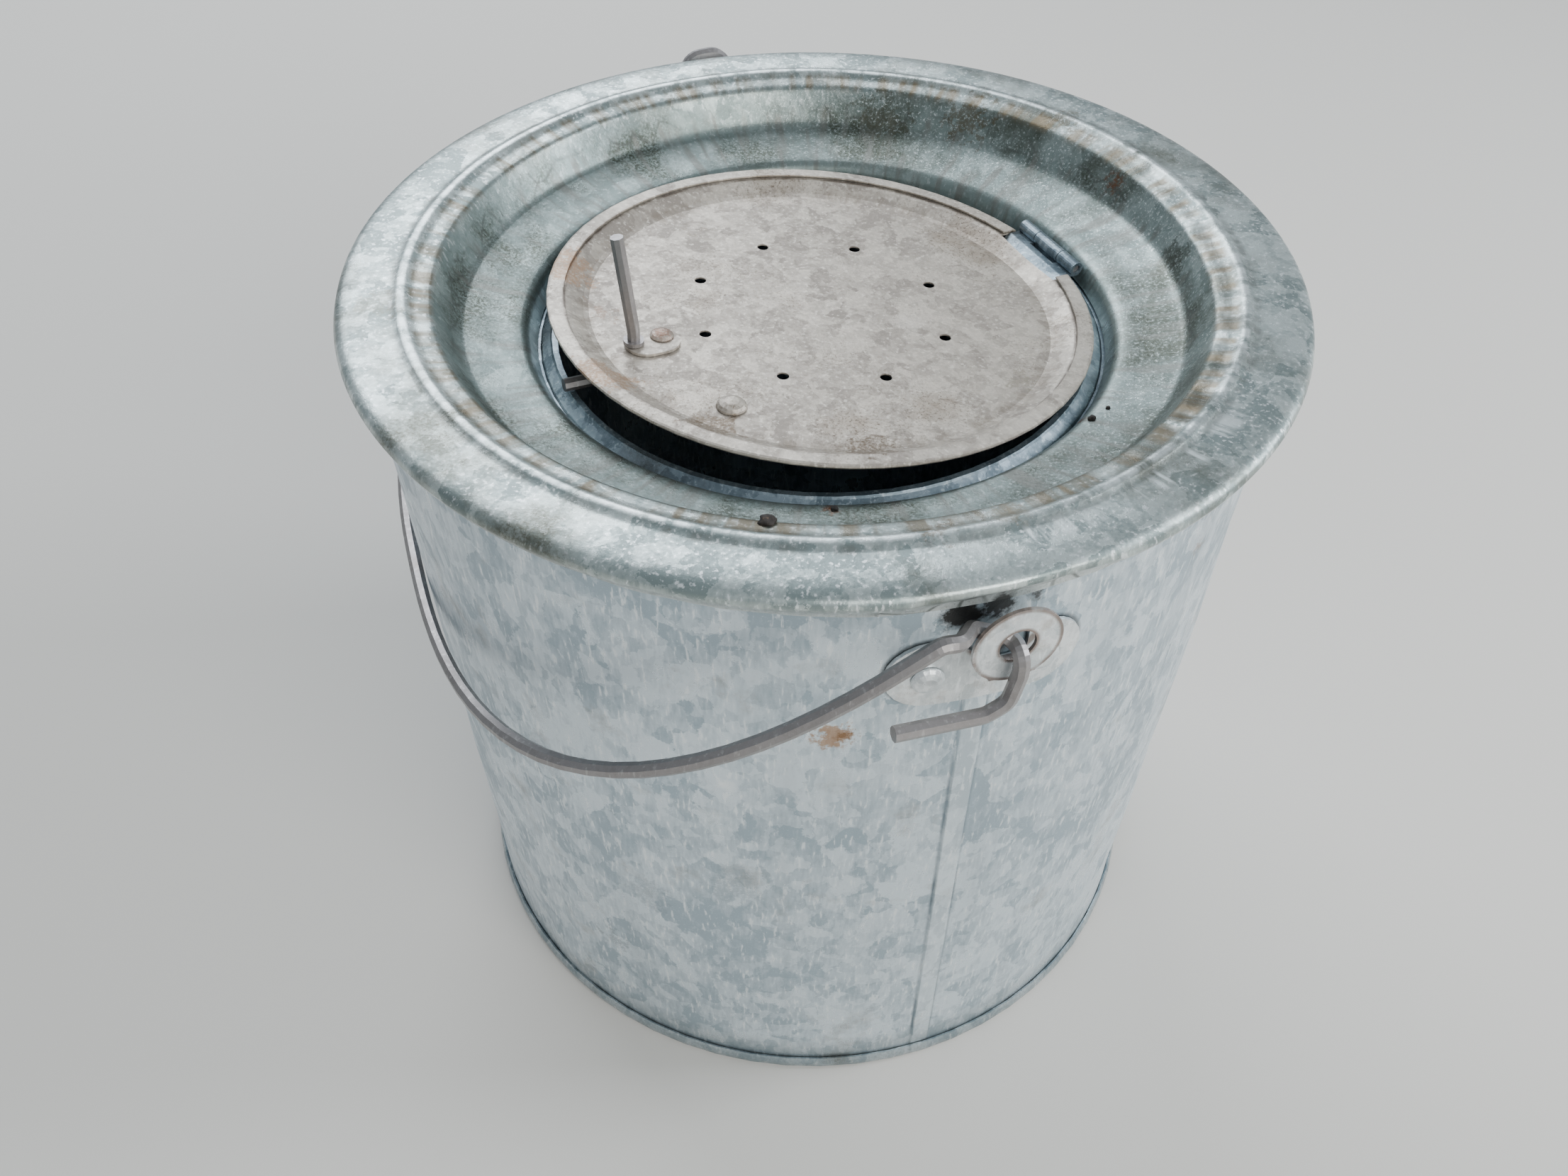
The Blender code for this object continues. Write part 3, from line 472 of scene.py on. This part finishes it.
def addLayer(tree, colour, at, tint, strength, masks):
    # Lays a tint over the colour. Each mask names a pattern and how it is read: as it is, with
    # (0 here, 1 here), or with (from, to, softness) as a band that is 1 inside. Sockets 6 and 7
    # are the Mix node's colours.
    share = strength
    for pattern, *limits in masks:
        parts = [] if limits else [at[pattern]]
        ramps = [limits] if limits else []
        if len(limits) == 3:
            low, high, soft = limits
            ramps = [(low - soft, low + soft), (high + soft, high - soft)]
        for start, end in ramps:
            ramp = addNode(tree, "ShaderNodeMapRange",
                           {"Value": at[pattern], "From Min": start, "From Max": end})
            parts.append(ramp.outputs["Result"])
        for part in parts:
            share = addNode(tree, "ShaderNodeMath", {0: share, 1: part},
                            operation="MULTIPLY").outputs[0]
    return addNode(tree, "ShaderNodeMix", {0: share, 6: colour, 7: toLinear(tint)},
                   data_type="RGBA").outputs[2]


def addLayers(tree, colour, at, s):
    for key, strength, masks in s["layers"]:
        colour = addLayer(tree, colour, at, s[key], strength, masks)
    return colour


def addStains(tree, colour, at, stains):
    for centre, radius, ragged, grain, tint, strength in stains:
        patch = patchMask(tree, at["place"], centre, radius, ragged, grain)
        masks = [("patch",)] + ([stainBreak] if strength < solidStain else [])
        colour = addLayer(tree, colour, {**at, "patch": patch}, tint, strength, masks)
    return colour


def patchMask(tree, place, centre, radius, ragged, grain):
    # 1 inside a ragged patch round a point of the object, 0 outside; sizes in mm
    away = addNode(tree, "ShaderNodeVectorMath", {0: place, 1: centre}, operation="DISTANCE")
    rough = addNode(tree, "ShaderNodeTexNoise", {"Vector": place, "Scale": perMetre(grain),
                                                "Detail": 5.0, "Roughness": 0.7})
    shift = addNode(tree, "ShaderNodeMath", {0: rough.outputs["Fac"], 1: ragged * stainPull,
                                            2: away.outputs["Value"]}, operation="MULTIPLY_ADD")
    edge = (radius + ragged * 2) / 1000
    return addNode(tree, "ShaderNodeMapRange",
                   {"Value": shift.outputs[0], "From Min": edge - stainBlur,
                    "From Max": edge + stainBlur, "To Min": 1.0, "To Max": 0.0}).outputs["Result"]


def unroll(tree, place, radiusScale, heightScale):
    # the surface unrolled: along the turn, outwards and up, the last two stretched
    split = addNode(tree, "ShaderNodeSeparateXYZ", {0: place})
    turn = addNode(tree, "ShaderNodeMath", {0: split.outputs[1], 1: split.outputs[0]},
                   operation="ARCTAN2").outputs[0]
    flat = addNode(tree, "ShaderNodeCombineXYZ", {0: split.outputs[0], 1: split.outputs[1]})
    radius = addNode(tree, "ShaderNodeVectorMath", {0: flat.outputs[0]},
                     operation="LENGTH").outputs["Value"]
    at = {"turn": turn, "radius": radius, "height": split.outputs[2]}
    parts = {}
    for i, (value, scale) in enumerate(zip(at.values(), (arcRadius, radiusScale, heightScale))):
        parts[i] = addNode(tree, "ShaderNodeMath", {0: value, 1: scale},
                           operation="MULTIPLY").outputs[0]
    return addNode(tree, "ShaderNodeCombineXYZ", parts).outputs[0], at


def zincMaterial(name, s, mark=None):
    mat, shader = newMaterial(name)
    tree = mat.node_tree
    place = addNode(tree, "ShaderNodeTexCoord").outputs["Object"]
    leaning = addNode(tree, "ShaderNodeMapping", {"Vector": place, "Rotation": s["dashTurn"],
                                                 "Scale": (1.0, 1.0, s["dashStretch"])})
    sizes = {**s, "lump": s["crystal"] * s["lump"]}
    noises = {}
    for pattern, (detail, rough) in s["noises"].items():
        source = leaning.outputs[0] if pattern == "dash" else place
        noises[pattern] = addNode(tree, "ShaderNodeTexNoise", {
            "Vector": source, "Scale": perMetre(sizes[pattern]), "Detail": detail,
            "Roughness": rough})
    bend = addNode(tree, "ShaderNodeMix", {0: s["featherShare"], 4: noises["lump"].outputs["Color"],
                                          5: noises["feather"].outputs["Color"]},
                   data_type="VECTOR")
    shift = addNode(tree, "ShaderNodeVectorMath", {0: bend.outputs[1], 1: (s["featherReach"],) * 3,
                                                  2: place}, operation="MULTIPLY_ADD")
    sets = {}
    for i, (size, tilt) in enumerate(zip((1.0, s["smallCrystal"]), s["tilts"])):
        turned = addNode(tree, "ShaderNodeMapping", {"Vector": shift.outputs[0],
                                                    "Rotation": (tilt, tilt * s["lean"], 0.0),
                                                    "Scale": (1.0, 1.0, s["crystalStretch"])})
        cell = addNode(tree, "ShaderNodeTexVoronoi", {
            "Vector": turned.outputs[0], "Scale": perMetre(s["crystal"] * size)}, feature="F1")
        tone = addNode(tree, "ShaderNodeSeparateColor", {0: cell.outputs["Color"]})
        sets[2 + i] = tone.outputs[0]
    crystals = addNode(tree, "ShaderNodeMix", {0: s["smallShare"], **sets}, data_type="FLOAT")
    at = {pattern: node.outputs["Fac"] for pattern, node in noises.items()}
    at["place"] = place
    mixed = addNode(tree, "ShaderNodeMix", {0: s["cloudShare"], 2: crystals.outputs[0],
                                           3: at["cloud"]}, data_type="FLOAT").outputs[0]
    tone = addNode(tree, "ShaderNodeMath", {0: at["dash"], 1: s["dashTone"], 2: mixed},
                   operation="MULTIPLY_ADD").outputs[0]
    uneven = addNode(tree, "ShaderNodeMath", {0: at["wide"], 1: s["wideTone"], 2: tone},
                     operation="MULTIPLY_ADD").outputs[0]
    low, high = s["toneRange"]
    colour = addLayer(tree, toLinear(s["dark"]), {"uneven": uneven}, s["light"], 1.0,
                      [("uneven", low + s["wideMiddle"], high + s["wideMiddle"])])
    colour = addLayers(tree, colour, at, s)
    colour = addLayer(tree, colour, at, s["grime"], s["grimeStrength"],
                      [("cloud", *s["grimeRange"]), ("fleck",)])
    if mark:
        colour = mark(tree, colour, at)
    tree.links.new(colour, shader.inputs["Base Color"])
    shader.inputs["Metallic"].default_value = s["metallic"]
    (smooth, dull), (dim, bright) = s["roughness"], s["roughTone"]
    rough = addNode(tree, "ShaderNodeMapRange", {"Value": tone, "From Min": dim,
                                                "From Max": bright, "To Min": dull,
                                                "To Max": smooth})
    tree.links.new(rough.outputs[0], shader.inputs["Roughness"])
    relief = addNode(tree, "ShaderNodeMath", {0: at["fleck"], 1: s["fleckHeight"], 2: tone},
                     operation="MULTIPLY_ADD")
    bump = addNode(tree, "ShaderNodeBump", {"Height": relief.outputs[0], "Strength": s["bump"],
                                           "Distance": s["bumpHeight"]})
    tree.links.new(bump.outputs[0], shader.inputs["Normal"])
    return mat


# The wall's zinc: clean enough to show its spangle, with rust, near-black patches by the front ear,
# and a seam with dirt and painted shade along its edges and a painted highlight on its rib

wallRadius = 0.136  # m, near the top, where most stains are


def onWall(azimuth, z):
    return onCircle(azimuth, z, wallRadius)


wallMarks = {
    "streakWidth": 9.6,  # mm
    "streakStretch": 0.02,
    "streak": "#7c8b94",
    "footGrime": "#5d6461",
    "seamTurn": -70.16,  # degrees at the floor
    "seamLean": 5.9,  # degrees a metre
    "seamDirtAndShade": "#5e6d77",  # dirt and painted shade along both edges of the folded seam
    # a painted highlight along the seam's raised rib
    "seamHighlight": "#e3ecf0",
    "layers": [  # tint, strength, masks; heights and radii in m, turns in radians
        ("streak", 0.2, [("streaks", 0.55, 0.75)]),
        ("seamHighlight", 0.3, [("seam", -0.023, 0.023, 0.003), ("height", 0.212, 0.206)]),
        ("seamDirtAndShade", 1.0, [("seam", -0.031, -0.024, 0.003), ("cloud", 0.30, 0.62),
                           ("height", 0.212, 0.206)]),
        ("seamDirtAndShade", 1.0, [("seam", 0.024, 0.029, 0.003), ("cloud", 0.30, 0.62),
                           ("height", 0.212, 0.206)]),
        ("footGrime", 1.0, [("height", 0.020, 0.004), ("fleck",)]),
    ],
    "wingDirt": "#55585a",
    "wingEdge": (0.75, [("away", 0.0115, 0.0130, 0.0005)]),
    # middles of the ears' wings, from their turn past the ear and their drop under the flange
    "wings": [onCircle(ear + off, topZ - drop, 0.1372) for ear in (earAzimuth, earAzimuth + 180)
              for off, drop in ((-7.75, 0.0365), (4.8, 0.0373))],
    "stains": [  # centre, radius, raggedness and grain in mm, tint, strength
        (onWall(-87.2, 0.1985), 4.5, 5.0, 3.0, "#a37a50", 0.8),
        (onWall(-86.0, 0.1985), 1.5, 3.5, 1.6, "#7d5a35", 0.8),
        (onWall(-99.6, 0.172), 2.5, 1.5, 3.0, "#eef3f4", 0.8),
        (onWall(-120.0, 0.056), 8.0, 9.0, 9.0, "#75848c", 0.6),
        (onWall(-84.0, 0.080), 5.0, 8.0, 10.0, "#82919a", 0.5),
        # near-black patches on the wall under the skirt, beside the front ear
        (onWall(-74.5, topZ - 0.016), 5.5, 2.0, 3.0, "#15120f", 0.97),
        (onWall(-70.5, topZ - 0.015), 4.5, 2.5, 3.0, "#1c1916", 0.92),
        (onWall(-66.5, topZ - 0.014), 2.5, 2.5, 3.0, "#2f2a26", 0.85),
        (onWall(-100.0, 0.120), 9.0, 9.0, 12.0, "#8f9ea7", 0.5),
        (onWall(-112.0, 0.100), 8.0, 9.0, 12.0, "#8796a0", 0.5),
        (onWall(-128.0, 0.150), 9.0, 9.0, 12.0, "#8b9aa3", 0.45),
        (onWall(-79.0, 0.040), 4.0, 8.0, 10.0, "#7c8c96", 0.5),
        (onWall(-40.0, 0.226), 2.0, 3.0, 2.0, "#8a6a4a", 0.6),
        (onWall(-44.0, 0.120), 1.2, 2.0, 1.5, "#4b4238", 0.6),
    ],
}


def markWall(tree, colour, at):
    s = wallMarks
    streakPlace, turned = unroll(tree, at["place"], 1.0, s["streakStretch"])
    at = {**at, **turned}
    at["streaks"] = addNode(tree, "ShaderNodeTexNoise", {
        "Vector": streakPlace, "Detail": 4.0, "Scale": perMetre(s["streakWidth"])}).outputs["Fac"]
    upright = addNode(tree, "ShaderNodeMath", {
        0: at["height"], 1: math.radians(s["seamLean"]), 2: at["turn"]}, operation="MULTIPLY_ADD")
    at["seam"] = addNode(tree, "ShaderNodeMath", {
        0: upright.outputs[0], 1: math.radians(s["seamTurn"])}, operation="SUBTRACT").outputs[0]
    colour = addLayers(tree, colour, at, s)
    for wing in s["wings"]:
        at["away"] = addNode(tree, "ShaderNodeVectorMath", {0: at["place"], 1: wing},
                             operation="DISTANCE").outputs["Value"]
        colour = addLayer(tree, colour, at, s["wingDirt"], *s["wingEdge"])
    return addStains(tree, colour, at, s["stains"])


wallZinc = zincMaterial("spangledZincWall", zincFinish, markWall)


# The ring's zinc: duller and greener, grimy in the dish, rubbed bright along the bead, with painted
# highlights on its right side

ringFinish = dict(zincFinish, light="#c0cbc9", dark="#7f8c8b", grime="#57574a",
                  grimeRange=(0.50, 0.66), crystal=8.0, roughness=(0.24, 0.42))
ringMarks = {
    "dishTone": "#74827f",
    "dishGrime": "#40453a",
    "beadDirt": "#6a5b41",
    # rubbed bright on the bead's top, elsewhere a painted highlight
    "beadWearAndHighlight": "#dfe8e8",
    "skirtDirt": "#6d6f6a",
    "skirtFace": "#ccd3d3",
    "crimpLine": "#4c504c",
    "radialWidth": 4.4,  # mm
    "radialStretch": (0.15, 0.3),
    "crimpWidth": 9.0,  # mm
    "crimpStretch": (0.0, 1.3),
    "layers": [  # tint, strength, masks
        ("dishTone", 0.75, [("radius", 0.080, 0.117, 0.003)]),
        ("dishGrime", 0.95, [("radius", 0.092, 0.1155, 0.003), ("cloud", 0.44, 0.58),
                             ("fleck", 0.60, 0.44)]),
        # painted highlight: bright flecks over the right side of the dish and the bead
        ("beadWearAndHighlight", 0.85, [("radius", 0.094, 0.128, 0.003), ("turn", -0.9, 1.7, 0.35),
                             ("fleck", 0.57, 0.63)]),
        ("dishGrime", 0.7, [("radius", 0.094, 0.124, 0.004), ("turn", -0.9, 1.7, 0.35),
                            ("cloud", 0.40, 0.62)]),
        ("beadDirt", 0.75, [("radius", 0.1165, 0.1232, 0.0007), ("radial", 0.42, 0.60)]),
        ("skirtDirt", 0.6, [("radius", 0.1268, 0.1295, 0.0006), ("radial", 0.45, 0.62)]),
        # the bead's top, rubbed bright
        ("beadWearAndHighlight", 0.75, [("radius", 0.1240, 0.1262, 0.0004), ("radial", 0.58, 0.42)]),
        ("skirtDirt", 0.8, [("height", topZ - 0.006, topZ - 0.010), ("radial", 0.50, 0.66)]),
        ("skirtFace", 0.75, [("height", topZ - 0.0030, topZ - 0.0060),
                             ("radius", 0.1375, 0.1385), ("fleck", 0.30, 0.50)]),
        # painted highlight: bright radial dashes on the right of the flange
        ("beadWearAndHighlight", 0.85, [("radius", 0.1285, 0.1345, 0.0012), ("turn", -1.25, -0.55, 0.08),
                             ("radial", 0.52, 0.60)]),
        ("crimpLine", 0.75, [("crimp", 0.07, 0.02), ("cloud", 0.42, 0.56),
                             ("height", topZ - 0.0125, topZ - 0.0065, 0.0008)]),
    ],
    "stains": [  # centre, then as the wall's
        ((0.052, 0.105, 0.252), 7.0, 9.0, 4.0, "#55492f", 0.6),
        ((0.083, 0.093, 0.257), 5.0, 7.0, 4.0, "#5f5238", 0.6),
        ((-0.030, -0.115, 0.252), 7.0, 9.0, 5.0, "#55503f", 0.6),
        ((0.030, -0.119, 0.257), 4.0, 7.0, 4.0, "#6b5537", 0.6),
        # near-black patches on the skirt, above those on the wall beside the front ear
        ((0.0515, -0.1330, 0.2525), 3.0, 1.8, 3.0, "#2b2825", 0.85),
        ((0.0470, -0.1320, 0.2470), 3.0, 1.5, 3.0, "#1c1a18", 0.9),
        ((0.095, 0.060, 0.254), 3.5, 4.0, 2.0, "#6b4326", 0.75),
        ((0.047, -0.112, 0.259), 5.0, 4.0, 3.0, "#8a8474", 0.7),
        ((0.004, -0.094, 0.242), 1.5, 2.0, 2.0, "#7a4a2b", 0.85),
        ((0.074, -0.051, 0.240), 1.5, 2.0, 2.0, "#7a4a2b", 0.85),
        ((0.110, 0.020, 0.250), 6.0, 8.0, 4.0, "#3f4238", 0.7),
        ((0.020, 0.112, 0.250), 7.0, 9.0, 5.0, "#4a4b3e", 0.7),
        ((-0.128, -0.030, 0.258), 6.0, 8.0, 6.0, "#7a7766", 0.5),
    ],
}


def markRing(tree, colour, at):
    s = ringMarks
    radialPlace, turned = unroll(tree, at["place"], *s["radialStretch"])
    at = {**at, **turned}
    at["radial"] = addNode(tree, "ShaderNodeTexNoise", {
        "Vector": radialPlace, "Detail": 5.0, "Scale": perMetre(s["radialWidth"])}).outputs["Fac"]
    crimpPlace, turned = unroll(tree, at["place"], *s["crimpStretch"])
    at["crimp"] = addNode(tree, "ShaderNodeTexVoronoi", {
        "Vector": crimpPlace, "Scale": perMetre(s["crimpWidth"])},
        feature="DISTANCE_TO_EDGE").outputs["Distance"]
    return addStains(tree, addLayers(tree, colour, at, s), at, s["stains"])


ringZinc = zincMaterial("grimyZincRing", ringFinish, markRing)


# The lid's zinc: handled and stained to a warm dull grey that hardly shines, rusty at its left

lidFinish = dict(zincFinish, light="#c4bcb0", dark="#8f877e", bloom="#d6d0c6", speck="#6d6256",
                 grime="#7d6c58", crystal=6.0, grimeRange=(0.58, 0.74), metallic=0.45,
                 roughness=(0.34, 0.52), toneRange=(0.47, 0.86))
lidMarks = {
    "crack": "#4d4036",  # dirt under the hem
    "footDirt": "#75695a",
    "rimShine": "#ddd6ca",
    "grit": "#5d5041",
    "wearWidth": 9.0,  # mm
    "wearStretch": (0.5, 0.5),
    "layers": [  # tint, strength, masks
        ("crack", 0.85, [("radius", 0.0783, 0.0790, 0.0003), ("wear", 0.35, 0.55)]),
        ("footDirt", 0.55, [("radius", 0.0690, 0.0745, 0.0015), ("wear", 0.45, 0.62)]),
        ("rimShine", 0.45, [("radius", 0.0795, 0.0835, 0.0006), ("wear", 0.60, 0.40)]),
        ("grit", 0.8, [("cloud", 0.46, 0.64), ("fleck", 0.48, 0.39)]),
    ],
    "stains": [  # centre, then as the wall's
        ((0.015, -0.071, 0.2425), 7.0, 8.0, 3.0, "#57452f", 0.79),
        ((-0.030, -0.066, 0.245), 7.0, 8.0, 4.0, "#65533d", 0.79),
        ((-0.042, 0.044, 0.2490), 5.0, 7.0, 4.0, "#6f6350", 0.65),
        ((0.060, -0.030, 0.242), 5.0, 7.0, 4.0, "#8f8878", 0.7),
        ((0.027, -0.004, 0.2435), 6.0, 5.0, 6.0, "#d8d1c6", 0.6),
        ((0.019, -0.024, 0.2430), 1.0, 1.5, 2.0, "#6f4c2c", 0.8),
        ((-0.0471, -0.0245, 0.2475), 3.0, 2.0, 3.0, "#8b5f48", 0.75),
        ((-0.066, -0.0135, 0.2495), 4.0, 6.0, 3.0, "#7d5d45", 0.65),
        ((-0.079, 0.006, 0.2515), 8.0, 9.0, 4.0, "#a68467", 0.79),
        ((-0.061, -0.050, 0.2505), 8.0, 9.0, 4.0, "#9c7c60", 0.79),
    ],
}


def markLid(tree, colour, at):
    s = lidMarks
    wearPlace, turned = unroll(tree, at["place"], *s["wearStretch"])
    at = {**at, **turned}
    at["wear"] = addNode(tree, "ShaderNodeTexNoise", {
        "Vector": wearPlace, "Scale": perMetre(s["wearWidth"]), "Detail": 5.0,
        "Roughness": 0.65}).outputs["Fac"]
    return addStains(tree, addLayers(tree, colour, at, s), at, s["stains"])


lidZinc = zincMaterial("dullZincLid", lidFinish, markLid)


# The ears' zinc: stamped from thicker stock, brighter and evener than the wall

earFinish = dict(zincFinish, light="#e6eaeb", dark="#c3cacc", crystal=5.0, cloud=14.0,
                 grime="#7d6a55", grimeRange=(0.56, 0.75), metallic=0.65)
earMarks = {
    "middle": (0.1445, 0.023),  # radius of the eye, its drop under topZ
    "rimRust": "#6d5140",
    "layers": [
        ("rimRust", 0.75, [("away", 0.0112, 0.0135, 0.0004), ("cloud", 0.35, 0.50)]),
        ("rimRust", 0.8, [("away", 0.0040, 0.0058, 0.0004), ("cloud", 0.35, 0.50)]),
    ],
}


def markEar(tree, colour, at):
    radius, drop = earMarks["middle"]
    for azimuth in (earAzimuth, earAzimuth + 180):
        eye = onCircle(azimuth, topZ - drop, radius)
        away = addNode(tree, "ShaderNodeVectorMath", {0: at["place"], 1: eye},
                       operation="DISTANCE").outputs["Value"]
        colour = addLayers(tree, colour, {**at, "away": away}, earMarks)
    return colour


earZinc = zincMaterial("stampedZincEar", earFinish, markEar)

# The neck's zinc: darker and bluer than the wall's, a painted shade for its place under the lid,
# and a little dirty
shadedNeckFinish = dict(zincFinish, light="#8d9ca5", dark="#5f6e77", bloom="#a9b6bc", grime="#35322c",
                  grimeRange=(0.52, 0.68))
shadedNeckZinc = zincMaterial("paintedShadeZincNeck", shadedNeckFinish)

# Drawn galvanised wire: an even warm grey with a soft sheen along it and no crystals. Its grain
# is really finer than 0.1 mm, and is drawn at 0.5 mm so that it shows.
wireFinish = dict(zincFinish, light="#9a9797", dark="#827e7d", bloom="#aaa7a6", speck="#5c5653",
                  grime="#6b6059", crystal=3.0, fleck=0.5, cloud=30.0, cloudShare=0.8,
                  toneRange=(0.40, 1.0), metallic=0.7, roughness=(0.30, 0.40), bump=0.05)
wireZinc = zincMaterial("drawnWireZinc", wireFinish)

# Dried mud: nearly black, matt and crumbly
mudFinish = dict(zincFinish, light="#2b241f", dark="#171310", bloom="#5b4a3a", speck="#15110e",
                 grime="#2b2119", metallic=0.0, roughness=(0.7, 0.9))
driedMud = zincMaterial("driedMud", mudFinish)


# Each piece gets its finish

solidSharp = 34.0  # degrees; the solids' bends are coarse, so they need a wide angle

wornWall.data.materials.append(wallZinc)
mud.data.materials.append(driedMud)
wornRing.data.materials.append(ringZinc)

for mat, names in (
        (wallZinc, ["pail_bottom"]),
        (earZinc, ["front_ear", "rear_ear", "front_ear_rivet_left", "front_ear_rivet_right",
                   "rear_ear_rivet_left", "rear_ear_rivet_right"]),
        # the neck's painted shade also goes on the hinge's bracket and strap
        (shadedNeckZinc, ["neck_collar", "hinge_bracket", "hinge_strap"]),
        (lidZinc, ["lid", "catch_plate", "catch_rivet", "lid_rivet"]),
        (wireZinc, ["bail", "catch_wire", "hinge_pin"])):
    for name in names:
        mesh = nodes[name].data
        mesh.materials.clear()
        mesh.materials.append(mat)
        smoothFaces(mesh, solidSharp)
print("finishes ready")
